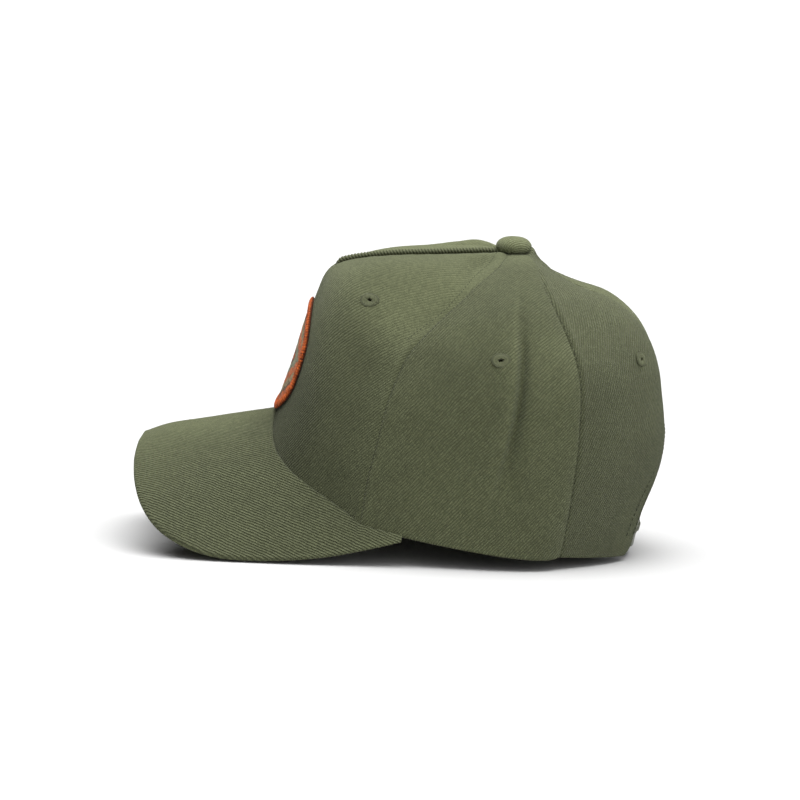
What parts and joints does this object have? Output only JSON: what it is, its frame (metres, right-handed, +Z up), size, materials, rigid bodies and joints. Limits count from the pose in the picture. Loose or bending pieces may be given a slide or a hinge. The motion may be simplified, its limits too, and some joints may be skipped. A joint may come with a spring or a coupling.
{
  "type": "snapback cap",
  "caption": "Structured high-crown cap in twill with a curved peak, covered button, stitched eyelets, front badge and snap strap at the back.",
  "frame": {"origin": "centre of the bounding box in plan, at the level of the surface the cap stands on", "axes": "+Z up, the peak points to -Y, +X is the wearer's left"},
  "size_m": [0.163, 0.271, 0.1614],
  "materials": {
    "twill": "olive green twill, matt",
    "eyelet_thread": "olive green thread",
    "strap_plastic": "olive green soft plastic, satin",
    "patch_thread": "embroidery in muted olive, brown and orange",
    "border_thread": "burnt orange overlock thread"
  },
  "bodies": {
    "root": {"front_panel": "twill", "side_panel_left": "twill", "side_panel_right": "twill", "back_panel_left": "twill", "back_panel_right": "twill", "dart_seam": "twill", "top_button": "twill", "peak": "twill", "snap_strap": "strap_plastic", "patch_face": "patch_thread", "patch_border": "border_thread", "eyelet_front_left": "eyelet_thread", "eyelet_front_right": "eyelet_thread", "eyelet_side_left": "eyelet_thread", "eyelet_side_right": "eyelet_thread", "eyelet_back_left": "eyelet_thread", "eyelet_back_right": "eyelet_thread"}
  },
  "joints": []
}
